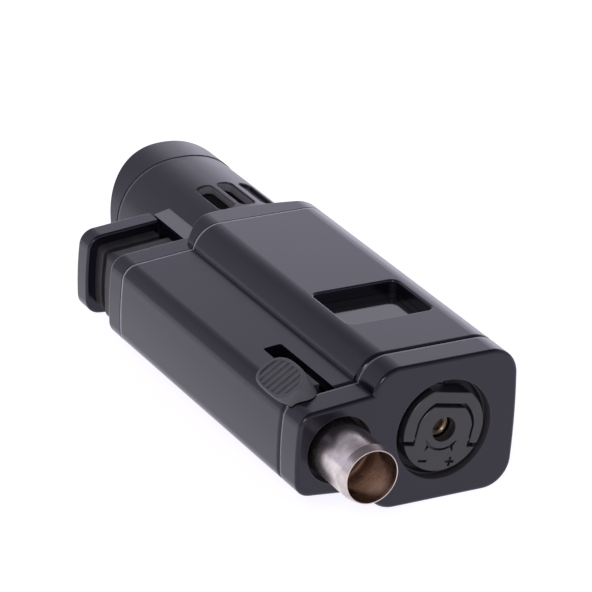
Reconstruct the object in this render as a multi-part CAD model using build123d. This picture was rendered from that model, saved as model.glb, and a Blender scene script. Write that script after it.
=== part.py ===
"""Pocket butane torch with a retractable punch, lying on its back. Sizes are in millimetres.

+X points to the tank side, +Y from the base to the burner, +Z up, away from the back.
The origin is the centre of the refill port, on the base face.
"""
from build123d import *
import math
import os

os.makedirs("parts", exist_ok=True)

# Casing: a tank lobe on the refill axis, and a tapered side lobe for the punch and the igniter
TANK_HALF = 11.95
DEPTH_HALF = 11.0
TANK_CORNER = 4.5
TANK_CROWN = 0.5
SIDE_REACH = 23.7
SIDE_CROWN = 0.35
VALLEY_HALF = 7.4
SIDE_HALF = 6.3
SIDE_CORNER = 2.5
TANK_WALL = 1.95
SIDE_WALL = 1.5
BASE_SEAM = 5.0
HEAD_SEAM = 55.3
HEAD_END = 59.2
EDGE_BREAK = 0.25
SEAM_ROUND = 0.25
SHELL_ROUND = 0.9
RIM_ROUND = 0.35
BASE_ROUND = 0.6
HOLE_BREAK = 0.12
FIT_GAP = 0.05

# Shoulder of the tank lobe around the hood: its crest and the two arcs that fall from it
CREST_X = -4.3
CREST_Y = 59.5
LEFT_SHOULDER_R = 12.5
RIGHT_SHOULDER_R = 56.0

# Window and slider slot in the front of the casing
WINDOW_X = (-7.3, 6.7)
WINDOW_Y = (15.6, 26.9)
WINDOW_CORNER = 1.1
WINDOW_STEP = 0.2
SLOT_X = (-18.2, -15.25)
SLOT_END = 21.0
SLOT_CORNER = 0.5

# Dial recess, dial and fold-out wing
RECESS_R = 7.7
RECESS_DEPTH = 3.4
RECESS_STEP = 1.7
DIAL_R = 6.5
DIAL_THICK = 3.0
DIAL_TURN = -11.5
WING_THICK = 1.2
WING_CHORD = 5.7
WING_FOOT = -2.27
WING_PIVOT = (-1.65, 0.62)
# Arch: its middle, half width, flat top's half length and height, and where its sides start to curve
ARCH_X = 0.17
ARCH_HALF = 4.57
ARCH_FLAT = 2.65
ARCH_TOP = 3.35
ARCH_SPRING = 0.7
ARCH_GAP = 0.3
PORT_R = 1.9
PORT_LENGTH = 1.5
MARK_DEPTH = 0.5
MARK_LINE = 0.4
FACE_BREAK = 0.08
MARK_SPAN = 1.44
ARROW_HEAD = [(2.75, -1.5), (1.55, -2.5), (2.4, -3.5), (2.25, -2.55)]

# Punch
PUNCH_X = -16.85
PUNCH_HOLE_R = 5.13
PUNCH_R = 4.45
PUNCH_BORE = 3.95
PUNCH_TIP = -9.13
PUNCH_RIM_R = 4.08
PUNCH_BEVEL = 1.4
PISTON_R = 3.7
PISTON_Y = 0.2
CARRIER_R = 4.8
CARRIER_Y = (6.0, 16.0)

# Slider pad: the middle of its top face, and its lean towards the side
PAD_TOP = (-21.55, 9.7, 7.9)
PAD_LEAN = 32.6
PAD_HALF = (3.05, 4.6)
PAD_FOOT = (-20.4, 8.9, 6.1)
PAD_FOOT_HALF = (3.35, 5.85)
PAD_POWER = 2.7
PAD_RIM = 0.35
PAD_DISH = 0.3
PAD_RIBS = 6
PAD_RIB_PITCH = 1.25

# Hood and guard ring
HOOD_HALF = (10.9, 10.15)
HOOD_POWER = 2.24
HOOD_WALL = 1.4
RING_SEAM = 82.2
RING_GROW = 0.12
RING_LENGTHS = (1.1, 1.9, 6.4)
AIR_SLOT_ANGLES = (103.5, 83.3, 62.0)
AIR_SLOT_Y = (61.7, 70.6)
AIR_SLOT_WIDTH = 2.6
AIR_SLOT_CORNER = 1.0
SLOT_ROUND = 0.2
FAIRING_X = -11.35
FAIRING_Y = (69.0, 70.2)

# Trigger
CAP_Y = (66.7, 70.1)
CAP_RIGHT = -11.75
COLLAR_Y = (55.5, 62.7)
COLLAR_MOUTH_Y = 60.8
STEM_FOOT = 58.0
STEM_GAP = 0.08
STEM_FLANGE_Y = 64.7
LIP_BREAK = 0.12
# Inset from the side lobe's outline, and the x of the flat side next to the hood
COLLAR_SECTION = (1.1, -12.13)
FLANGE_SECTION = (1.5, -12.5)
STEM_SECTION = (1.95, -12.75)

# Igniter
IGNITER_Y = (27.5, 45.0)
PLUNGER_R = 2.6

# Burner
BURNER_PLATE = (56.0, 57.2)
PLATE_SCREW = (6.5, 3.6)
BAFFLE = (71.6, 72.6)
CUP_R = 5.2

# Fuel tank and refill valve
CAP_SCREW_Z = (-5.2, 5.2)
TANK_INSET = TANK_WALL + 0.05
TANK_BASE = (5.2, 8.7)
FLANGE_Y = (7.2, 8.2)

# Gas valve and lever
VALVE_X = -5.5
LEVER_PIVOT = (-10.9, 52.4)
LEVER_HALF = 1.4
LEVER_PIN_R = 0.75
TANK_LID = (48.0, 50.0)
ELECTRODE = (-6.9, -4.2)


def at_y(y):
    """Plane across the torch at y, with its x along +X and its y along +Z."""
    return Plane(origin=(0, y, 0), x_dir=(1, 0, 0), z_dir=(0, -1, 0))


def prism(sketch, y0, y1):
    return extrude(at_y(y0) * sketch, amount=y0 - y1)


def block(x0, x1, y0, y1, z0, z1):
    middle = Pos((x0 + x1) / 2, (y0 + y1) / 2, (z0 + z1) / 2)
    return middle * Box(x1 - x0, y1 - y0, z1 - z0)


def rod(x, z, radius, y0, y1):
    return Pos(x, (y0 + y1) / 2, z) * Rot(90, 0, 0) * Cylinder(radius, y1 - y0)


def pipe(x, z, outer, inner, y0, y1):
    return rod(x, z, outer, y0, y1) - rod(x, z, inner, y0 - 1, y1 + 1)


def plan(outline, z0, z1):
    """Solid from a sketch in the XY plane."""
    return extrude(Pos(0, 0, z0) * outline, amount=z1 - z0)


def wire_along(points, bend, radius):
    """Round wire on straight runs joined by tangent arcs."""
    path = FilletPolyline(*points, radius=bend)
    return sweep(Plane(origin=path @ 0, z_dir=path % 0) * Circle(radius), path=path)


def tank_section(inset=0.0):
    """Tank lobe: flat front, back and left side, and a slightly crowned right side."""
    w = TANK_HALF - inset
    h = DEPTH_HALF - inset
    flat = w - TANK_CROWN
    edges = [
        Line((-w, -h), (flat, -h)),
        ThreePointArc((flat, -h), (w, 0), (flat, h)),
        Line((flat, h), (-w, h)),
        Line((-w, h), (-w, -h)),
    ]
    face = make_face(edges)
    return fillet(face.vertices(), TANK_CORNER - inset)


def side_half(x, inset=0.0):
    """Half depth of the side lobe at x."""
    width = SIDE_REACH - SIDE_CROWN - TANK_HALF
    slope = (VALLEY_HALF - SIDE_HALF) / width
    return VALLEY_HALF - slope * (-TANK_HALF - x) - inset


def side_section(inset=0.0, right=-TANK_HALF + 2.0):
    """Side lobe: it tapers away from the tank lobe and ends in a crowned side."""
    tip = -SIDE_REACH + inset
    left = tip + SIDE_CROWN
    near = side_half(left, inset)
    far = side_half(right, inset)
    edges = [
        Line((right, -far), (right, far)),
        Line((right, far), (left, near)),
        ThreePointArc((left, near), (tip, 0), (left, -near)),
        Line((left, -near), (right, -far)),
    ]
    face = make_face(edges)
    return fillet(face.vertices().sort_by(Axis.X)[:2], max(SIDE_CORNER - inset, 0.6))


def casing_section():
    return tank_section() + side_section()


def oval(half_x, half_y, power, count=32):
    """Squarish oval: |x/a|^power + |y/b|^power = 1."""
    points = []
    for i in range(count):
        turn = 2 * math.pi * i / count
        c = math.cos(turn)
        s = math.sin(turn)
        x = half_x * math.copysign(abs(c) ** (2 / power), c)
        y = half_y * math.copysign(abs(s) ** (2 / power), s)
        points.append((x, y))
    return make_face(Spline(*points, periodic=True))


def hood_section(grow=0.0):
    return oval(HOOD_HALF[0] + grow, HOOD_HALF[1] + grow, HOOD_POWER)


def save(node, shape):
    export_step(shape, f"parts/{node}.step")


# Casing

def casing_end(solid, y):
    """Edges of the face that closes a casing piece at y."""
    return solid.faces().filter_by(Plane.XZ).sort_by(lambda f: abs(f.center().Y - y))[0].edges()


def main_shell():
    body = prism(casing_section(), BASE_SEAM, HEAD_SEAM)
    body = fillet(casing_end(body, HEAD_SEAM), SEAM_ROUND)
    body = fillet(casing_end(body, BASE_SEAM), SHELL_ROUND)
    y0 = BASE_SEAM - 1
    y1 = HEAD_SEAM + 1
    body -= prism(tank_section(TANK_WALL), y0, y1)
    body -= prism(side_section(SIDE_WALL, right=-TANK_HALF), y0, y1)
    x0, x1 = WINDOW_X
    w0, w1 = WINDOW_Y
    middle = Pos((x0 + x1) / 2, (w0 + w1) / 2)
    for step, top in ((0, DEPTH_HALF + 1), (WINDOW_STEP, DEPTH_HALF - TANK_WALL / 2)):
        opening = RectangleRounded(x1 - x0 + step, w1 - w0 + step, WINDOW_CORNER)
        body -= plan(middle * opening, DEPTH_HALF - 3, top)
    s0, s1 = SLOT_X
    slot = Pos((s0 + s1) / 2, SLOT_END / 2) * RectangleRounded(s1 - s0, SLOT_END, SLOT_CORNER)
    body -= plan(slot, 0, DEPTH_HALF)
    body -= block(-TANK_HALF - 0.5, -TANK_HALF + 3, TANK_LID[0] + 1.5, y1, -5.2, 5.2)
    rim = body.edges().filter_by(lambda e: abs(e.center().Z - DEPTH_HALF) < 0.01
                                 and x0 - 0.1 < e.center().X < x1 + 0.1
                                 and w0 - 0.1 < e.center().Y < w1 + 0.1)
    return fillet(rim, RIM_ROUND)


def base_cap():
    body = prism(casing_section(), 0, BASE_SEAM)
    body = fillet(casing_end(body, 0), BASE_ROUND)
    body = fillet(casing_end(body, BASE_SEAM), SEAM_ROUND)
    body -= rod(0, 0, RECESS_R, -1, RECESS_STEP)
    body -= rod(0, 0, RECESS_R - 0.25, RECESS_STEP, RECESS_DEPTH)
    body -= rod(0, 0, 3.1, 0, BASE_SEAM + 1)
    body -= rod(PUNCH_X, 0, PUNCH_HOLE_R, -1, BASE_SEAM + 1)
    for z in CAP_SCREW_Z:
        body -= rod(0, z, 1.7, RECESS_DEPTH - 0.5, RECESS_DEPTH + 0.9)
        body -= rod(0, z, 1.0, RECESS_DEPTH, BASE_SEAM + 1)
    rims = body.edges().filter_by(lambda e: e.geom_type == GeomType.CIRCLE and abs(e.center().Y) < 0.01
                                  and e.radius in (RECESS_R, PUNCH_HOLE_R))
    return fillet(rims, HOLE_BREAK)


def shoulder(x):
    """Height of the tank lobe's end over x."""
    radius = LEFT_SHOULDER_R if x < CREST_X else RIGHT_SHOULDER_R
    return CREST_Y - radius + math.sqrt(radius ** 2 - (x - CREST_X) ** 2)


def shoulder_point(x):
    return (x, shoulder(x))


def fairing():
    """Flat wall between the hood and the trigger."""
    low, high = FAIRING_Y
    outline = Polyline(
        (FAIRING_X, HEAD_SEAM), (FAIRING_X, low), (-8.2, high), (-3.0, high), (-3.0, HEAD_SEAM), close=True
    )
    half = side_half(-TANK_HALF)
    return plan(make_face(outline), -half, half)


def shoulder_edges(solid):
    """Edges where the curved end meets the lobe's outside."""
    seam = casing_end(solid, HEAD_SEAM)
    runs = solid.edges().filter_by(Axis.Y)
    return [e for e in solid.edges() if e not in seam and e not in runs and (e @ 0).Y > HEAD_SEAM + 1
            and abs((e @ 0.5).X - CREST_X) > 0.01]


def head_cap():
    left = -TANK_HALF - 1
    right = TANK_HALF + 1
    top = [
        ThreePointArc(shoulder_point(left), shoulder_point(-9), shoulder_point(CREST_X)),
        ThreePointArc(shoulder_point(CREST_X), shoulder_point(4), shoulder_point(right)),
        Line(shoulder_point(right), (right, HEAD_SEAM)),
        Line((right, HEAD_SEAM), (left, HEAD_SEAM)),
        Line((left, HEAD_SEAM), shoulder_point(left)),
    ]
    tank_end = prism(tank_section(), HEAD_SEAM, CREST_Y + 1) & plan(make_face(top), -20, 20)
    tank_end = fillet(shoulder_edges(tank_end), EDGE_BREAK)
    side_end = prism(side_section(right=-TANK_HALF + 1.5), HEAD_SEAM, HEAD_END)
    side_end = fillet(casing_end(side_end, HEAD_END), 0.35)
    body = tank_end + side_end + fairing()
    body -= prism(hood_section(FIT_GAP), HEAD_SEAM - 1, CREST_Y + 20)
    body -= prism(trigger_section(*grown(COLLAR_SECTION, FIT_GAP)), HEAD_SEAM - 1, HEAD_END + 1)
    return body


# Trigger

def trigger_section(inset, right):
    """Section of the trigger pieces: the side lobe's own shape, inset."""
    return side_section(inset, right=right)


def grown(section, gap):
    """An (inset, right) pair for the same section with a gap round it."""
    inset, right = section
    return inset - gap, right + gap


def trigger_cap():
    body = prism(trigger_section(0, CAP_RIGHT), *CAP_Y)
    ends = casing_end(body, CAP_Y[0]) + casing_end(body, CAP_Y[1])
    return fillet(ends, 0.4)


def trigger_stem():
    flange = prism(trigger_section(*FLANGE_SECTION), STEM_FLANGE_Y, CAP_Y[0])
    flange = fillet(casing_end(flange, STEM_FLANGE_Y), LIP_BREAK)
    return prism(trigger_section(*STEM_SECTION), STEM_FOOT, CAP_Y[0]) + flange


def head_collar():
    """Sleeve that guides the stem, with a wider mouth that takes the stem's flange."""
    low, high = COLLAR_Y
    body = prism(trigger_section(*COLLAR_SECTION), low, high)
    body = fillet(casing_end(body, high), LIP_BREAK)
    body -= prism(trigger_section(*grown(STEM_SECTION, STEM_GAP)), low - 1, high + 1)
    return body - prism(trigger_section(*grown(FLANGE_SECTION, STEM_GAP)), COLLAR_MOUTH_Y, high + 1)


def coil(x, radius, wire, y0, y1, turns):
    """Helical spring along Y."""
    height = y1 - y0 - 2 * wire
    path = Helix(pitch=height / turns, height=height, radius=radius)
    body = sweep(Plane(origin=path @ 0, z_dir=path % 0) * Circle(wire), path=path)
    return Pos(x, y0 + wire, 0) * Rot(-90, 0, 0) * body


def igniter_case():
    y0, y1 = IGNITER_Y
    body = block(PUNCH_X - 4.3, PUNCH_X + 4.3, y0, y1, -4.6, 4.6)
    body = chamfer(body.edges().filter_by(Axis.Y), 0.8)
    return body - rod(PUNCH_X, 0, PLUNGER_R + FIT_GAP, y1 - 9, y1 + 1)


def igniter_plunger():
    return rod(PUNCH_X, 0, PLUNGER_R, 41.0, STEM_FOOT)


# Fuel tank and refill valve


def fuel_tank():
    body = prism(tank_section(TANK_INSET), TANK_BASE[0], TANK_LID[0])
    body -= prism(tank_section(TANK_INSET + 1.5), TANK_BASE[1], TANK_LID[0] + 1)
    body -= rod(0, 0, 4.0, TANK_BASE[0] - 1, FLANGE_Y[1])
    body -= rod(0, 0, 2.05, FLANGE_Y[0], TANK_BASE[1] + 1)
    for z in CAP_SCREW_Z:
        body -= rod(0, z, 0.9, TANK_BASE[0] - 1, 8.3)
    return body


def tank_lid():
    y0, y1 = TANK_LID
    px, py = LEVER_PIVOT
    body = prism(tank_section(TANK_INSET), y0, y1)
    for side in (1, -1):
        z0, z1 = sorted((side * 1.6, side * 3.0))
        body += block(px - 1.2, px + 2.4, y1 - 0.5, py + 1.2, z0, z1)
        body += rod(PLATE_SCREW[0], side * PLATE_SCREW[1], 1.8, y1 - 0.5, BURNER_PLATE[0])
        body -= rod(PLATE_SCREW[0], side * PLATE_SCREW[1], 0.8, y1 + 1, BURNER_PLATE[0] + 1)
    body -= Pos(px, py, 0) * Cylinder(LEVER_PIN_R, 10)
    return body - rod(VALVE_X, 0, 2.2, y0 - 1, y1 + 1)


def fill_valve_body():
    body = rod(0, 0, 2.0, 1.9, 12.5) + rod(0, 0, 3.9, *FLANGE_Y)
    body -= rod(0, 0, 1.5, 1, 9.5)
    body -= rod(0, 0, 1.7, 9.5, 12.0)
    return body - rod(0, 0, 0.5, 11, 13)


def fill_stem():
    body = rod(0, 0, 1.45, 2.3, 9.4)
    return chamfer(body.edges().sort_by(Axis.Y)[0], 0.25)


def cap_screws():
    screws = []
    for z in CAP_SCREW_Z:
        screw = rod(0, z, 1.6, RECESS_DEPTH + 0.05, RECESS_DEPTH + 0.9) + rod(0, z, 0.9, RECESS_DEPTH + 0.9, 8.2)
        screws.append(screw - block(-1.2, 1.2, RECESS_DEPTH, RECESS_DEPTH + 0.4, z - 0.2, z + 0.2))
    return Compound(children=screws)


# Flame adjuster

def dial_plane(y):
    """Plane across the dial at y, turned to the dial's rest angle."""
    turn = math.radians(DIAL_TURN)
    return Plane(origin=(0, y, 0), x_dir=(math.cos(turn), 0, math.sin(turn)), z_dir=(0, -1, 0))


def dial_prism(sketch, y0, y1):
    return extrude(dial_plane(y0) * sketch, amount=y0 - y1)


def dial_disc():
    disc = Circle(DIAL_R)
    return disc - Pos(0, WING_CHORD + 5) * Rectangle(20, 10)


def arch(grow, top, foot):
    """Round-shouldered arch that the wing folds around."""
    side = ARCH_HALF + grow
    shoulder = (0.83 * side, ARCH_SPRING + 0.6 * (top - ARCH_SPRING))
    edges = [
        Line((-side, foot), (-side, ARCH_SPRING)),
        ThreePointArc((-side, ARCH_SPRING), (-shoulder[0], shoulder[1]), (-ARCH_FLAT, top)),
        Line((-ARCH_FLAT, top), (ARCH_FLAT, top)),
        ThreePointArc((ARCH_FLAT, top), shoulder, (side, ARCH_SPRING)),
        Line((side, ARCH_SPRING), (side, foot)),
        Line((side, foot), (-side, foot)),
    ]
    return Pos(ARCH_X, 0) * make_face(edges)


def marks():
    """Minus sign, plus sign and a curved double arrow."""
    x = 2.3
    y = -4.95
    signs = Pos(-x, y) * Rectangle(MARK_SPAN, MARK_LINE)
    signs += Pos(x, y) * Rectangle(MARK_SPAN, MARK_LINE)
    signs += Pos(x, y) * Rectangle(MARK_LINE, MARK_SPAN)
    radius = 3.1
    band = Circle(radius + 0.17) - Circle(radius - 0.17)
    signs += band & (Pos(0, -5) * Rectangle(3.7, 5.6))
    for side in (-1, 1):
        signs += make_face(Polyline(*[(side * x, y) for x, y in ARROW_HEAD], close=True))
    return signs


def adjuster_dial():
    foot = WING_FOOT - 0.35
    front = arch(-ARCH_GAP / 3, ARCH_TOP, foot - 1)
    front += dial_disc() & (Pos(0, foot - 10) * Rectangle(20, 20))
    body = dial_prism(dial_disc(), 1.3, DIAL_THICK) + dial_prism(front, 0, 1.3)
    body = chamfer(casing_end(body, 0), FACE_BREAK)
    body -= dial_prism(marks(), -1, MARK_DEPTH)
    body -= rod(0, 0, PORT_R, -1, PORT_LENGTH)
    body -= rod(0, 0, 2.2, PORT_LENGTH, DIAL_THICK + 1)
    return body - pin_holes(2.9, 4.8, 0.35)


def pin_holes(x0, x1, radius):
    """The two wing pins' bores, along the dial's own x."""
    y, depth = WING_PIVOT
    holes = []
    for side in (-1, 1):
        centre = dial_plane(depth) * Pos(side * (x0 + x1) / 2, y, 0)
        holes.append(centre * Rot(0, 90, 0) * Cylinder(radius, x1 - x0))
    return holes


def is_foot(edge):
    """Whether an edge lies along the wing's two feet."""
    return abs(dial_plane(0).to_local_coords(edge.center()).Y - WING_FOOT) < 0.01


def adjuster_wing():
    outline = dial_disc() - arch(ARCH_GAP * 2 / 3, ARCH_TOP + 0.6, WING_FOOT - 3)
    outline &= Pos(0, WING_FOOT + 10) * Rectangle(20, 20)
    body = dial_prism(outline, 0.02, 0.02 + WING_THICK)
    body = chamfer(casing_end(body, 0.02).filter_by(lambda e: e.length > 5.0), FACE_BREAK)
    feet = body.edges().filter_by(lambda e: is_foot(e) and e.length > 1.0 and abs((e % 0.5).Y) < 0.5)
    body = fillet(feet, WING_THICK * 0.48)
    return body - pin_holes(4.0, 6.0, 0.38)


def wing_pins():
    return Compound(children=pin_holes(3.0, 5.9, 0.35))


def adjuster_screw():
    return pipe(0, 0, 3.0, 2.1, DIAL_THICK, 6.0)


def fill_seal():
    return pipe(0, 0, 3.9, 2.05, 6.1, 7.15)


# Punch

def punch_tube():
    body = rod(PUNCH_X, 0, PUNCH_R, PUNCH_TIP, CARRIER_Y[0])
    tip = body.edges().filter_by(GeomType.CIRCLE).sort_by(Axis.Y)[0]
    body = chamfer(tip, PUNCH_BEVEL, PUNCH_R - PUNCH_RIM_R, reference=body.faces().filter_by(GeomType.CYLINDER)[0])
    return body - rod(PUNCH_X, 0, PUNCH_BORE, PUNCH_TIP - 1, CARRIER_Y[0] + 1)


def punch_carrier():
    body = rod(PUNCH_X, 0, CARRIER_R, *CARRIER_Y)
    body += rod(PUNCH_X, 0, PUNCH_BORE, 2.0, CARRIER_Y[0] + 0.5)
    return body + neck()


def neck():
    """Bridge between the carrier and the pad, through the slot."""
    return block(SLOT_X[0] + 0.1, SLOT_X[0] + 1.3, 6.6, 11.0, 3.0, 7.3)


def punch_piston():
    """Plated face at the bottom of the punch, with a shallow dish in it."""
    body = rod(PUNCH_X, 0, PISTON_R, PISTON_Y, 2.0)
    body = chamfer(body.edges().sort_by(Axis.Y)[0], 0.3)
    return body - Pos(PUNCH_X, PISTON_Y - 5.2, 0) * Sphere(6.0)


def punch_guide():
    return pipe(PUNCH_X, 0, PUNCH_HOLE_R - 0.02, PUNCH_R + STEM_GAP, 2.2, BASE_SEAM)


def detent_spring():
    return block(PUNCH_X - 1.5, PUNCH_X + 1.5, 12.0, 27.0, -5.2, -4.9)


def slider_pad():
    lean = math.radians(PAD_LEAN)
    across = (math.cos(lean), 0, math.sin(lean))
    up = Vector(-math.sin(lean), 0, math.cos(lean))
    top = Plane(origin=PAD_TOP, x_dir=across, z_dir=up)
    foot = Plane(origin=PAD_FOOT, x_dir=(1, 0, 0), z_dir=(0, 0, 1))
    body = loft([top * oval(*PAD_HALF, PAD_POWER), foot * oval(*PAD_FOOT_HALF, PAD_POWER)])
    body = fillet(body.edges().filter_by(lambda e: top.to_local_coords(e.center()).Z > -0.1), 0.25)
    half_x = PAD_HALF[0] - PAD_RIM
    half_y = PAD_HALF[1] - PAD_RIM
    body -= extrude(top * oval(half_x - 0.25, half_y - 0.25, PAD_POWER), amount=-PAD_DISH)
    for i in range(PAD_RIBS):
        y = (i - (PAD_RIBS - 1) / 2) * PAD_RIB_PITCH
        reach = half_x * (1 - abs(y / half_y) ** PAD_POWER) ** (1 / PAD_POWER)
        body += top * Pos(0, y, -PAD_DISH) * Rot(0, 90, 0) * Cylinder(0.3, 2 * reach - 0.3)
    body -= prism(side_section(-0.15, right=-TANK_HALF), -3, 30)
    return body - neck()


# Burner


def burner_hood():
    body = prism(hood_section() - hood_section(-HOOD_WALL), HEAD_SEAM, RING_SEAM)
    y0, y1 = AIR_SLOT_Y
    for side in (1, -1):
        for angle in AIR_SLOT_ANGLES:
            cut = RectangleRounded(y1 - y0, AIR_SLOT_WIDTH, AIR_SLOT_CORNER)
            face = Plane(origin=(0, (y0 + y1) / 2, 0), x_dir=(0, 1, 0), z_dir=direction(side * angle))
            body -= extrude(face * cut, amount=20)
    rims = body.edges().filter_by(lambda e: y0 - 0.1 < e.center().Y < y1 + 0.1 and on_hood(e.center(), 0))
    return fillet(rims, SLOT_ROUND)


def on_hood(point, grow):
    """Whether a point lies on the hood's outside, grown by grow."""
    reach = abs(point.X / (HOOD_HALF[0] + grow)) ** HOOD_POWER + abs(point.Z / (HOOD_HALF[1] + grow)) ** HOOD_POWER
    return abs(reach - 1) < 0.04


def direction(angle):
    """Unit vector at an angle from +X towards +Z."""
    turn = math.radians(angle)
    return (math.cos(turn), 0, math.sin(turn))


def hood_ring():
    body = prism(hood_section(RING_GROW) - hood_section(-HOOD_WALL), RING_SEAM, RING_SEAM + 8)
    low, middle, high = (RING_SEAM + length for length in RING_LENGTHS)
    reach = HOOD_HALF[1] + RING_GROW
    end = [
        ThreePointArc((low, -reach), (middle, 0), (high, reach)),
        Line((high, reach), (high + 20, reach + 9)),
        Line((high + 20, reach + 9), (high + 20, -reach - 5)),
        Line((high + 20, -reach - 5), (low - 0.2, -reach - 5)),
        Line((low - 0.2, -reach - 5), (low, -reach)),
    ]
    side_plane = Plane(origin=(-20, 0, 0), x_dir=(0, 1, 0), z_dir=(1, 0, 0))
    return body - extrude(side_plane * make_face(end), amount=40)


def burner_plate():
    body = prism(hood_section(-HOOD_WALL - FIT_GAP), *BURNER_PLATE)
    body -= rod(VALVE_X, 0, 1.25, 50, 60)
    body -= rod(ELECTRODE[0], ELECTRODE[1], 1.15, 50, 60)
    for side in (1, -1):
        body -= rod(PLATE_SCREW[0], side * PLATE_SCREW[1], 0.9, 50, 60)
    return body


def plate_screws():
    y0 = BURNER_PLATE[1]
    screws = []
    for side in (1, -1):
        x, z = PLATE_SCREW[0], side * PLATE_SCREW[1]
        screw = rod(x, z, 1.5, y0, y0 + 1) + rod(x, z, 0.8, 52, y0)
        screws.append(screw - block(x - 1.2, x + 1.2, y0 + 0.6, y0 + 2, z - 0.2, z + 0.2))
    return Compound(children=screws)


def mixer_tube():
    body = pipe(0, 0, 2.6, 1.6, BURNER_PLATE[1], 71.0)
    return body - Pos(-2, 60.5, 0) * Rot(0, 90, 0) * Cylinder(1.2, 3)


def flame_cup():
    body = rod(0, 0, CUP_R, 69.0, 79.0) - rod(0, 0, 4.6, 70.0, 80.0) - rod(0, 0, 2.6, 68.0, 71.0)
    for i in range(8):
        hole = Pos(0, 77.2, 0) * Rot(0, 45 * i, 0) * Pos(5, 0, 0) * Rot(0, 90, 0) * Cylinder(0.8, 2)
        body -= hole
    return body


def hood_baffle():
    """Plate that closes the hood round the flame cup, just past the air slots."""
    body = prism(hood_section(-HOOD_WALL - FIT_GAP), *BAFFLE)
    body -= rod(0, 0, CUP_R + FIT_GAP, BAFFLE[0] - 1, BAFFLE[1] + 1)
    return body - rod(ELECTRODE[0], ELECTRODE[1], 1.1, BAFFLE[0] - 1, BAFFLE[1] + 1)


def flame_disc():
    body = rod(0, 0, 4.6, 75.0, 76.0) - rod(0, 0, 0.8, 74, 77)
    for i in range(6):
        turn = math.radians(60 * i)
        body -= rod(2.7 * math.cos(turn), 2.7 * math.sin(turn), 0.7, 74, 77)
    return body


def electrode():
    x, z = ELECTRODE
    points = [(x, 57.3, z), (x, 79.6, z), (x + 2.2, 80.8, z + 1.2)]
    return wire_along(points, 0.9, 0.45)


def electrode_insulator():
    return pipe(ELECTRODE[0], ELECTRODE[1], 1.1, 0.45, 55.6, 74.0)


def spark_lead():
    x, z = ELECTRODE
    points = [(-13.0, IGNITER_Y[1], z), (-13.0, 51.6, z), (x, 51.6, z), (x, 57.3, z)]
    return wire_along(points, 1.5, 0.44)


# Gas valve

def valve_body():
    body = rod(VALVE_X, 0, 2.2, 44.0, 51.2) + rod(VALVE_X, 0, 3.0, 50.0, 51.0)
    return body - rod(VALVE_X, 0, 0.95, 45.0, 52.0)


def valve_nipple():
    body = rod(VALVE_X, 0, 0.9, 46.0, 53.4)
    body += rod(VALVE_X, 0, 1.9, 53.3, 54.0)
    return body + rod(VALVE_X, 0, 0.6, 54.0, 56.5)


def gas_lever():
    px, py = LEVER_PIVOT
    outline = Pos(px, py) * Circle(1.5)
    outline += make_face(Polyline((px, py + 1.2), (-13.2, 54.3), (-13.2, 53.5), (px, py - 1.0), close=True))
    outline += make_face(
        Polyline((px, py + 0.85), (VALVE_X + 1.9, 53.25), (VALVE_X + 1.9, 52.25), (px, py - 1.0), close=True)
    )
    body = plan(outline, -LEVER_HALF, LEVER_HALF)
    body -= block(VALVE_X - 1.3, VALVE_X + 4, 50, 56, -1.05, 1.05)
    return body - Pos(px, py, 0) * Cylinder(LEVER_PIN_R + FIT_GAP, 10)


def lever_pin():
    px, py = LEVER_PIVOT
    return Pos(px, py, 0) * Cylinder(LEVER_PIN_R, 6.4)


def gas_tube():
    points = [(VALVE_X, 55.2, 0), (VALVE_X, 60.5, 0), (-2.65, 60.5, 0)]
    return wire_along(points, 2.0, 1.15) - wire_along(points, 2.0, 0.65)


NODES = {
    "main_shell": main_shell,
    "base_cap": base_cap,
    "head_cap": head_cap,
    "head_collar": head_collar,
    "burner_hood": burner_hood,
    "hood_ring": hood_ring,
    "burner_plate": burner_plate,
    "plate_screws": plate_screws,
    "mixer_tube": mixer_tube,
    "hood_baffle": hood_baffle,
    "flame_cup": flame_cup,
    "flame_disc": flame_disc,
    "electrode": electrode,
    "electrode_insulator": electrode_insulator,
    "spark_lead": spark_lead,
    "gas_tube": gas_tube,
    "valve_body": valve_body,
    "valve_nipple": valve_nipple,
    "gas_lever": gas_lever,
    "lever_pin": lever_pin,
    "fuel_tank": fuel_tank,
    "tank_lid": tank_lid,
    "igniter_case": igniter_case,
    "igniter_plunger": igniter_plunger,
    "trigger_cap": trigger_cap,
    "trigger_stem": trigger_stem,
    "punch_tube": punch_tube,
    "punch_piston": punch_piston,
    "punch_carrier": punch_carrier,
    "punch_guide": punch_guide,
    "slider_pad": slider_pad,
    "detent_spring": detent_spring,
    "adjuster_dial": adjuster_dial,
    "adjuster_wing": adjuster_wing,
    "wing_pins": wing_pins,
    "adjuster_screw": adjuster_screw,
    "fill_valve_body": fill_valve_body,
    "fill_stem": fill_stem,
    "fill_seal": fill_seal,
    "cap_screws": cap_screws,
}

for name, build in NODES.items():
    save(name, build())

save("trigger_spring", coil(PUNCH_X, 3.05, 0.35, IGNITER_Y[1] + FIT_GAP, STEM_FOOT - FIT_GAP, 6))
save("fill_spring", coil(0, 1.2, 0.2, 9.45, 11.95, 3))
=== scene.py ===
"""Looks and studio for the pocket butane torch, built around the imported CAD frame. Sizes are in metres."""

import math

import bpy
from mathutils import Matrix, Vector


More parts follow.
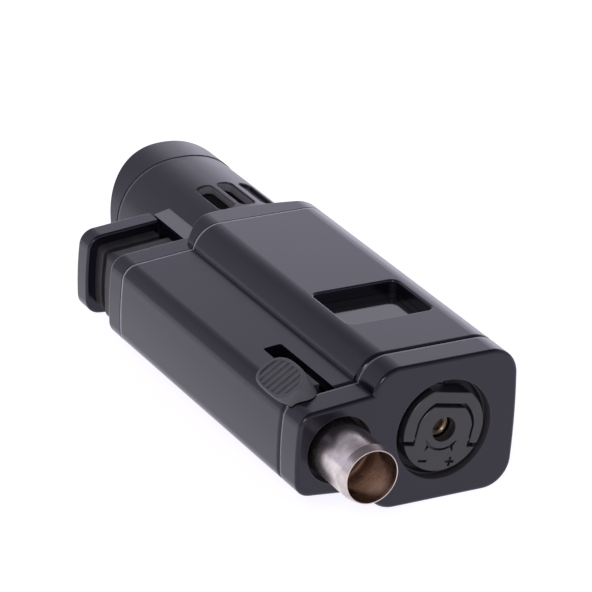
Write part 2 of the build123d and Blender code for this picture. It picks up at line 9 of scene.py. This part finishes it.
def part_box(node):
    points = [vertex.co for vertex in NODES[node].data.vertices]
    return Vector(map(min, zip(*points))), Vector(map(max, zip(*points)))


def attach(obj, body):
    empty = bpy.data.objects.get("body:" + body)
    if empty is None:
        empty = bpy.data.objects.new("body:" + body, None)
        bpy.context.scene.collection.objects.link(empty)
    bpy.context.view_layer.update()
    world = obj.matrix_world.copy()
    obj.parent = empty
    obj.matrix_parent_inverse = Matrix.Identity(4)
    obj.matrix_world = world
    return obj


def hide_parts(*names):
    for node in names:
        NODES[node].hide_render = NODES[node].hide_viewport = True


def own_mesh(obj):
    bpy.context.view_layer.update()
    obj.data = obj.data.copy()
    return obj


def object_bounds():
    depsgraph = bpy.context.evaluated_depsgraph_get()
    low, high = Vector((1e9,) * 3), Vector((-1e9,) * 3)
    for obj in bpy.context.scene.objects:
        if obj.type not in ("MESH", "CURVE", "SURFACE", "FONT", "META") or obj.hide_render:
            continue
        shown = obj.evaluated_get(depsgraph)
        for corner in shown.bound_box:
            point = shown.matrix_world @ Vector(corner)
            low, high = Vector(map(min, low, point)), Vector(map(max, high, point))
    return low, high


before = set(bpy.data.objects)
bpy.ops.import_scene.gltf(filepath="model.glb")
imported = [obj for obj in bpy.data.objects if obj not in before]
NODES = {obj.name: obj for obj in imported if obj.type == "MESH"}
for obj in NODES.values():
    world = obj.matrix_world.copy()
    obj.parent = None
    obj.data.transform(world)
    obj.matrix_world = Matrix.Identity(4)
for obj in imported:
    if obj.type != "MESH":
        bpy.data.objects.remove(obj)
CAD_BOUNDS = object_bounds()
SCENE = bpy.context.scene


# Node trees

class Tree:
    """Small helper to lay out a node tree."""

    def __init__(self, tree):
        self.tree = tree

    def add(self, kind, **settings):
        node = self.tree.nodes.new(kind)
        for key, value in settings.items():
            setattr(node, key, value)
        return node

    def link(self, source, target):
        self.tree.links.new(source, target)

    def ramp(self, source, stops):
        """Colour ramp from (position, colour) stops."""
        node = self.add("ShaderNodeValToRGB")
        elements = node.color_ramp.elements
        while len(elements) < len(stops):
            elements.new(0.5)
        for element, (position, colour) in zip(elements, stops):
            element.position = position
            element.color = (*colour, 1)
        self.link(source, node.inputs["Fac"])
        return node.outputs["Color"]

    def spread(self, source, low, high, low_in=0.3, high_in=0.7):
        """Maps a value from one range to another. The default range in suits a noise."""
        node = self.add("ShaderNodeMapRange")
        node.inputs["From Min"].default_value = low_in
        node.inputs["From Max"].default_value = high_in
        node.inputs["To Min"].default_value = low
        node.inputs["To Max"].default_value = high
        self.link(source, node.inputs["Value"])
        return node.outputs["Result"]

    def math(self, operation, first, second):
        node = self.add("ShaderNodeMath", operation=operation)
        self.link(first, node.inputs[0])
        self.link(second, node.inputs[1])
        return node.outputs[0]

    def mix(self, factor, first, second, **settings):
        """Blends two colours, each a socket or a plain colour."""
        node = self.add("ShaderNodeMix", data_type="RGBA", **settings)
        if isinstance(factor, (int, float)):
            node.inputs["Factor"].default_value = factor
        else:
            self.link(factor, node.inputs["Factor"])
        for socket, value in ((node.inputs[6], first), (node.inputs[7], second)):
            if isinstance(value, tuple):
                socket.default_value = (*value, 1)
            else:
                self.link(value, socket)
        return node.outputs[2]


class Nodes(Tree):
    """A new material's node tree, with its shader and the object's own coordinates."""

    def __init__(self, name):
        self.material = bpy.data.materials.new(name)
        self.material.use_nodes = True
        super().__init__(self.material.node_tree)
        self.shader = self.tree.nodes["Principled BSDF"]
        self.place = self.add("ShaderNodeTexCoord").outputs["Object"]

    def noise(self, scale, detail=3.0, roughness=0.5, stretch=(1, 1, 1)):
        mapping = self.add("ShaderNodeMapping")
        mapping.inputs["Scale"].default_value = stretch
        self.link(self.place, mapping.inputs["Vector"])
        node = self.add("ShaderNodeTexNoise")
        node.inputs["Scale"].default_value = scale
        node.inputs["Detail"].default_value = detail
        node.inputs["Roughness"].default_value = roughness
        self.link(mapping.outputs["Vector"], node.inputs["Vector"])
        return node.outputs["Fac"]

    def along(self, axis):
        split = self.add("ShaderNodeSeparateXYZ")
        self.link(self.place, split.inputs["Vector"])
        return split.outputs[axis]

    def from_axis(self, x, z):
        """Distance from an axis that runs along Y."""
        shift = self.add("ShaderNodeVectorMath", operation="SUBTRACT")
        shift.inputs[1].default_value = (x, 0, z)
        self.link(self.place, shift.inputs[0])
        flat = self.add("ShaderNodeVectorMath", operation="MULTIPLY")
        flat.inputs[1].default_value = (1, 0, 1)
        self.link(shift.outputs[0], flat.inputs[0])
        length = self.add("ShaderNodeVectorMath", operation="LENGTH")
        self.link(flat.outputs[0], length.inputs[0])
        return length.outputs["Value"]

    def bump(self, height, distance):
        node = self.add("ShaderNodeBump")
        node.inputs["Distance"].default_value = distance
        node.inputs["Strength"].default_value = 1.0
        self.link(height, node.inputs["Height"])
        self.link(node.outputs["Normal"], self.shader.inputs["Normal"])

    def surface(self, **values):
        for key, value in values.items():
            self.shader.inputs[key.replace("_", " ")].default_value = value


# Materials

# Roughness of the hole walls, whose lighter grey is painted light, and the width over which a coat gives way
# to it
LIT_WALL_ROUGH = 0.6
COAT_EDGE = 0.0001


def mottled(
    name, dark, light, rough, scale=300.0, grain=(2200.0, 2e-6), stretch=(1, 1, 1),
    seam_highlight=None, painted_lit_walls=(), **values
):
    """Principled material whose colour and roughness drift a little over the surface.

    grain is the scale and depth of the bump. values are for the shader's own sockets.
    The seam highlight is (y, width, colour, x): a painted highlight line, in place of light caught by a
    rounded seam edge, just short of y and left of x.
    The lit walls are a list of (x, radius, grey) holes along Y whose walls get a lighter grey: painted light
    reaching into the holes.
    """
    n = Nodes(name)
    drift = n.noise(scale, 4.0, 0.6, stretch)
    colour = n.ramp(drift, [(0.3, dark), (0.7, light)])
    matt = n.spread(drift, *rough)
    # Painted highlight: a pale line along the seam, in place of light caught by the rounded edge.
    if seam_highlight:
        edge, width, pale, right = seam_highlight
        start = n.spread(n.along("Y"), 0, 1, edge - 1.2 * width, edge - 0.8 * width)
        stop = n.spread(n.along("Y"), 1, 0, edge + COAT_EDGE / 2, edge + COAT_EDGE)
        left = n.spread(n.along("X"), 1, 0, right - LINE, right)
        line = n.math("MULTIPLY", n.math("MULTIPLY", start, stop), left)
        patchy = n.spread(n.noise(900.0), 0.7, 1.0)
        colour = n.mix(n.math("MULTIPLY", line, patchy), colour, pale)
    # Painted light: the walls of these holes get a lighter grey, as if light reached into them.
    for x, radius, grey in painted_lit_walls:
        wall = n.spread(n.from_axis(x, 0), 1, 0, radius, radius + COAT_EDGE)
        colour = n.mix(wall, colour, (grey, 0.93 * grey, grey))
        matt = n.math("MAXIMUM", n.spread(wall, 0, LIT_WALL_ROUGH), matt)
    n.link(colour, n.shader.inputs["Base Color"])
    n.link(matt, n.shader.inputs["Roughness"])
    grain_scale, grain_depth = grain
    n.bump(n.noise(grain_scale, 2.0, 0.5, stretch), grain_depth)
    n.surface(**values)
    return n.material


def metal(name, dark, light, rough, stretch, scale=400.0):
    return mottled(name, dark, light, rough, scale, (2600.0, 1.5e-6), stretch, Metallic=1.0)


def enamel(name, seam_highlight=None, painted_lit_walls=()):
    """Glossy black paint with a cold violet sheen."""
    dark = (0.0038, 0.003, 0.0052)
    light = (0.0056, 0.0044, 0.0075)
    sheen = (0.86, 0.83, 1.0, 1)
    grain = (900.0, 3e-7)
    return mottled(name, dark, light, (0.17, 0.2), 90.0, grain, seam_highlight=seam_highlight, painted_lit_walls=painted_lit_walls, Specular_Tint=sheen)


def hood_paint(name, seam_highlight=None, painted_lit_walls=()):
    """Softer and slightly warmer paint, dulled by heat."""
    dark = (0.011, 0.0098, 0.0128)
    light = (0.015, 0.0135, 0.0175)
    sheen = (0.92, 0.89, 1.0, 1)
    grain = (1200.0, 8e-7)
    return mottled(name, dark, light, (0.29, 0.34), 120.0, grain, seam_highlight=seam_highlight, painted_lit_walls=painted_lit_walls, Specular_Tint=sheen)


def punch_metal(axis_x, bore, mouth):
    """Nickel: pinkish patches outside, darker towards the base as a painted dark reflection of the hole, and
    warm bronze in the bore.
    """
    n = Nodes("punch_metal")
    patches = n.noise(190.0, 5.0, 0.62)
    plate = n.ramp(patches, [
        (0.3, (0.36, 0.3, 0.275)),
        (0.52, (0.62, 0.56, 0.53)),
        (0.72, (0.82, 0.78, 0.76)),
    ])
    # Painted dark reflection: darker towards the base face, where the punch enters its hole.
    painted_hole_reflection = n.spread(n.along("Y"), 0, 0.75, mouth + 0.0035, BASE_FACE + 0.001)
    streaks = n.spread(n.noise(420.0, 3.0, 0.6, (1, 0.35, 1)), 0.35, 1.0)
    plate = n.mix(n.math("MULTIPLY", painted_hole_reflection, streaks), plate, (0.24, 0.2, 0.19))
    rings = n.noise(900.0, 2.0, 0.5, (0.03, 1, 0.03))
    bronze = n.ramp(rings, [(0.35, (0.36, 0.27, 0.22)), (0.65, (0.68, 0.55, 0.46))])
    outside = n.spread(n.from_axis(axis_x, 0), 0, 1, bore - COAT_EDGE, bore + COAT_EDGE)
    n.link(n.mix(outside, bronze, plate), n.shader.inputs["Base Color"])
    n.link(n.spread(patches, 0.34, 0.16), n.shader.inputs["Roughness"])
    n.bump(n.noise(1500.0, 2.0, 0.5), 1.2e-6)
    n.surface(Metallic=1.0)
    return n.material


def valve_brass(inner, outer):
    """Brown brass, with a painted highlight ring round the refill port between two radii."""
    n = Nodes("valve_brass")
    stains = n.noise(700.0, 3.0, 0.6)
    brown = n.ramp(stains, [(0.3, (0.07, 0.048, 0.03)), (0.7, (0.13, 0.092, 0.055))])
    bright = n.ramp(stains, [(0.3, (0.7, 0.63, 0.52)), (0.7, (0.9, 0.85, 0.76))])
    radius = n.from_axis(0, 0)
    past_inner = n.spread(radius, 0, 1, inner, inner + 0.4 * COAT_EDGE)
    short_of_outer = n.spread(radius, 1, 0, outer, outer + 0.4 * COAT_EDGE)
    # Painted highlight: the ring between the two radii gets the bright colour.
    painted_highlight_ring = n.math("MULTIPLY", past_inner, short_of_outer)
    n.link(n.mix(painted_highlight_ring, brown, bright), n.shader.inputs["Base Color"])
    n.link(n.spread(stains, 0.25, 0.4), n.shader.inputs["Roughness"])
    n.surface(Metallic=1.0)
    return n.material


# Edges, seams and holes that the coats follow

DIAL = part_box("adjuster_dial")
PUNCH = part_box("punch_tube")
# The base face lies at y = 0
BASE_FACE = 0
SHELL_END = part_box("main_shell")[1][1]
CAP_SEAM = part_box("base_cap")[1][1]
RING_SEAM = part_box("hood_ring")[0][1]
# Where the side lobe's part of the head cap ends, along Y, and how far right it reaches, along X
HEAD_SIDE_END = 0.0592
SIDE_LOBE = -0.0128
# Width of the painted highlight line at a seam, and a right limit past the whole part
LINE = 0.0005
WHOLE_WIDTH = 1.0
# Gaps from the dial and the punch to the coated face round them
DIAL_GAP = 0.00122
PUNCH_GAP = 0.00075
# How deep the plating of the punch and the paint of the hood reach into their rims
PUNCH_PLATING = 0.00045
HOOD_SKIN = 0.0002
PUNCH_X = (PUNCH[0][0] + PUNCH[1][0]) / 2
PUNCH_R = (PUNCH[1][0] - PUNCH[0][0]) / 2
# Holes whose walls get a lighter grey of painted light, as (x, radius, grey).
DIAL_RECESS = (0, DIAL[1][0] + DIAL_GAP, 0.045)
PUNCH_HOLE = (PUNCH_X, PUNCH_R + PUNCH_GAP, 0.05)
HOOD_INSIDE = (0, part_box("burner_hood")[1][2] - HOOD_SKIN, 0.2)
# The painted highlight ring in the refill port: the stem's bevel and the valve body's edge
STEM_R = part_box("fill_stem")[1][0]
STEM_BEVEL = 0.00025
VALVE_EDGE = 0.00015

# The pale lines at the seams of these coats are painted highlights on the rounded edges.
shell_coat = enamel("shell_coat", (SHELL_END, LINE, (0.36, 0.34, 0.4), WHOLE_WIDTH))
head_coat = enamel("head_coat", (HEAD_SIDE_END, 0.7 * LINE, (0.3, 0.285, 0.335), SIDE_LOBE))
cap_coat = enamel("cap_coat", (CAP_SEAM, LINE, (0.16, 0.15, 0.18), WHOLE_WIDTH), [DIAL_RECESS, PUNCH_HOLE])
plain_coat = enamel("plain_coat")
# Painted highlight line at the hood's ring seam.
hood_seam_highlight = (RING_SEAM, LINE, (0.13, 0.123, 0.142), WHOLE_WIDTH)
hood_coat = hood_paint("hood_coat", hood_seam_highlight, [HOOD_INSIDE])
ring_coat = hood_paint("ring_coat")
dial_plastic = mottled(
    "dial_plastic", (0.017, 0.016, 0.0192), (0.023, 0.0217, 0.0258), (0.3, 0.37), 300.0, (1800.0, 1e-6)
)
black_plastic = mottled(
    "black_plastic", (0.02, 0.0185, 0.0195), (0.03, 0.028, 0.0295), (0.42, 0.5), 500.0, Specular_IOR_Level=0.3
)
grip_plastic = mottled(
    "grip_plastic", (0.08, 0.077, 0.084), (0.105, 0.101, 0.11), (0.5, 0.6), 600.0, (3500.0, 6e-6)
)
smoke = mottled(
    "smoke", (0.008, 0.0076, 0.009), (0.013, 0.0124, 0.0146), (0.06, 0.1), 120.0, (1500.0, 3e-7), IOR=1.7
)
nickel = punch_metal(PUNCH_X, PUNCH_R - PUNCH_PLATING, PUNCH[0][1])
port_brass = valve_brass(STEM_R - STEM_BEVEL, STEM_R + VALVE_EDGE)
bronze = metal("bronze", (0.34, 0.26, 0.21), (0.62, 0.5, 0.41), (0.25, 0.4), (1, 1, 1), 300.0)
brass = metal("brass", (0.2, 0.15, 0.09), (0.42, 0.34, 0.22), (0.2, 0.32), (1, 1, 1))
steel = metal("steel", (0.3, 0.3, 0.3), (0.5, 0.5, 0.51), (0.25, 0.4), (1, 0.1, 1))
rubber = mottled("rubber", (0.012, 0.012, 0.012), (0.022, 0.022, 0.022), (0.6, 0.75), 700.0)
ceramic = mottled("ceramic", (0.7, 0.68, 0.62), (0.82, 0.8, 0.75), (0.25, 0.35), 300.0)
lead_red = mottled("lead_red", (0.3, 0.025, 0.02), (0.42, 0.04, 0.03), (0.4, 0.5), 500.0)

LOOKS = {
    shell_coat: ["main_shell"],
    cap_coat: ["base_cap"],
    head_coat: ["head_cap"],
    plain_coat: ["trigger_cap"],
    hood_coat: ["burner_hood"],
    ring_coat: ["hood_ring"],
    black_plastic: [
        "hood_baffle", "head_collar", "trigger_stem", "punch_carrier", "punch_guide",
        "igniter_case", "igniter_plunger", "gas_lever",
    ],
    dial_plastic: ["adjuster_dial", "adjuster_wing"],
    grip_plastic: ["slider_pad"],
    smoke: ["fuel_tank", "tank_lid"],
    nickel: ["punch_tube"],
    bronze: ["punch_piston"],
    port_brass: ["fill_valve_body", "fill_stem"],
    brass: ["valve_body", "valve_nipple", "adjuster_screw", "mixer_tube"],
    steel: [
        "flame_cup", "flame_disc", "burner_plate", "electrode", "plate_screws", "cap_screws",
        "lever_pin", "wing_pins", "detent_spring", "trigger_spring", "fill_spring",
    ],
    rubber: ["fill_seal", "gas_tube"],
    ceramic: ["electrode_insulator"],
    lead_red: ["spark_lead"],
}
for look, names in LOOKS.items():
    for name in names:
        materials = NODES[name].data.materials
        materials.clear()
        materials.append(look)


# Springs

def live_spring(node):
    """A copy of the spring, attached to the casing in place of the original piece."""
    spring = bpy.data.objects.new(node + "_live", NODES[node].data.copy())
    SCENE.collection.objects.link(spring)
    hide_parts(node)
    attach(spring, "casing")
    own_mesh(spring)


live_spring("trigger_spring")
live_spring("fill_spring")


# Studio: floor, room, light and camera

# Wall middle, from +Y towards +X, and the two ends of its soft side edge, in degrees
WALL_TURN = 39
WALL_EDGE = (17, 27)
WALL_LEVEL = 1.95
COOL = (0.87, 0.85, 1.0)
WHITE = (1.0, 1.0, 1.0)
# Brightness by the sine of the elevation, as shares of WALL_LEVEL
WALL = [(0.0, 1.0), (0.33, 0.9), (0.39, 0.68), (0.45, 0.5), (0.6, 0.27), (0.75, 0.13), (1.0, 0.08)]
ROOM = [(0.0, 0.4), (0.35, 0.4), (0.55, 0.36), (0.7, 0.16), (1.0, 0.08)]
FLOOR_GLOW = (0.94, 0.92, 1.0, 1)
MIDDLE = Vector((-0.006, 0.035, 0))
REST_Z = CAD_BOUNDS[0][2]


def floor_material():
    n = Nodes("floor")
    drift = n.noise(3.0, 2.0)
    grey = n.ramp(drift, [(0.3, (0.4, 0.4, 0.4)), (0.7, (0.42, 0.42, 0.42))])
    n.link(grey, n.shader.inputs["Base Color"])
    n.surface(Roughness=0.9, Emission_Color=FLOOR_GLOW, Emission_Strength=0.95, Specular_IOR_Level=0.1)
    return n.material


def lay_floor():
    bpy.ops.mesh.primitive_plane_add(size=6, location=(0, 0, REST_Z))
    floor = bpy.context.object
    floor.name = "floor"
    floor.data.materials.append(floor_material())


def studio_world():
    """Dim room with one wide bright wall, behind the torch and to its right. The camera sees plain white."""
    world = bpy.data.worlds.new("studio")
    SCENE.world = world
    world.use_nodes = True
    t = Tree(world.node_tree)

    split = t.add("ShaderNodeSeparateXYZ")
    t.link(t.add("ShaderNodeTexCoord").outputs["Generated"], split.inputs["Vector"])
    level = t.add("ShaderNodeCombineXYZ")
    t.link(split.outputs["X"], level.inputs["X"])
    t.link(split.outputs["Y"], level.inputs["Y"])
    flat = t.add("ShaderNodeVectorMath", operation="NORMALIZE")
    t.link(level.outputs[0], flat.inputs[0])
    facing = t.add("ShaderNodeVectorMath", operation="DOT_PRODUCT")
    t.link(flat.outputs[0], facing.inputs[0])
    turn = math.radians(WALL_TURN)
    facing.inputs[1].default_value = (math.sin(turn), math.cos(turn), 0)
    side = t.add("ShaderNodeMapRange", interpolation_type="SMOOTHSTEP")
    side.inputs["From Min"].default_value = math.cos(math.radians(WALL_EDGE[1]))
    side.inputs["From Max"].default_value = math.cos(math.radians(WALL_EDGE[0]))
    t.link(facing.outputs["Value"], side.inputs["Value"])

    def by_height(stops):
        return t.ramp(split.outputs["Z"], [(position, (share, share, share)) for position, share in stops])

    shade = t.mix(side.outputs["Result"], by_height(ROOM), by_height(WALL))
    background = t.tree.nodes["Background"]
    t.link(t.mix(1, shade, COOL, blend_type="MULTIPLY"), background.inputs["Color"])
    background.inputs["Strength"].default_value = WALL_LEVEL

    plain = t.add("ShaderNodeBackground")
    plain.inputs["Strength"].default_value = 1.0
    plain.inputs["Color"].default_value = (*WHITE, 1)
    swap = t.add("ShaderNodeMixShader")
    t.link(t.add("ShaderNodeLightPath").outputs["Is Camera Ray"], swap.inputs["Fac"])
    t.link(background.outputs[0], swap.inputs[1])
    t.link(plain.outputs[0], swap.inputs[2])
    t.link(swap.outputs[0], t.tree.nodes["World Output"].inputs["Surface"])


def softbox(name, azimuth, elevation, distance, side, radiance):
    """Square light aimed at the middle of the torch. Azimuth 0 is behind the base, 90 on the tank side."""
    turn = math.radians(azimuth)
    rise = math.radians(elevation)
    away = Vector((math.sin(turn) * math.cos(rise), -math.cos(turn) * math.cos(rise), math.sin(rise)))
    data = bpy.data.lights.new(name, "AREA")
    data.shape = "SQUARE"
    data.size = side
    data.energy = radiance * math.pi * side * side
    light = bpy.data.objects.new(name, data)
    SCENE.collection.objects.link(light)
    light.location = MIDDLE + away * distance
    light.rotation_euler = away.to_track_quat("Z", "Y").to_euler()
    light.visible_camera = False


def camera_at(position, azimuth, elevation, roll, lens):
    """Camera that looks along azimuth and elevation, in degrees as for softbox, and then rolls."""
    a, e, r = (math.radians(v) for v in (azimuth, elevation, roll))
    back = Vector((math.sin(a) * math.cos(e), -math.cos(a) * math.cos(e), math.sin(e)))
    flat_x = Vector((0, 0, 1)).cross(back).normalized()
    flat_y = back.cross(flat_x)
    right = math.cos(r) * flat_x + math.sin(r) * flat_y
    up = -math.sin(r) * flat_x + math.cos(r) * flat_y
    data = bpy.data.cameras.new("camera")
    data.lens = lens
    data.sensor_width = 36
    data.clip_start = 0.01
    data.clip_end = 20
    camera = bpy.data.objects.new("camera", data)
    SCENE.collection.objects.link(camera)
    camera.matrix_world = Matrix.Translation(position) @ Matrix((right, up, back)).transposed().to_4x4()
    SCENE.camera = camera


lay_floor()
studio_world()
softbox("front", -42, 36, 1.2, 0.28, 11.0)
camera_at(Vector((-0.27596, -0.43637, 0.25124)), -29.8794, 24.2005, 3.0973, 246.76)
SCENE.view_settings.view_transform = "Standard"
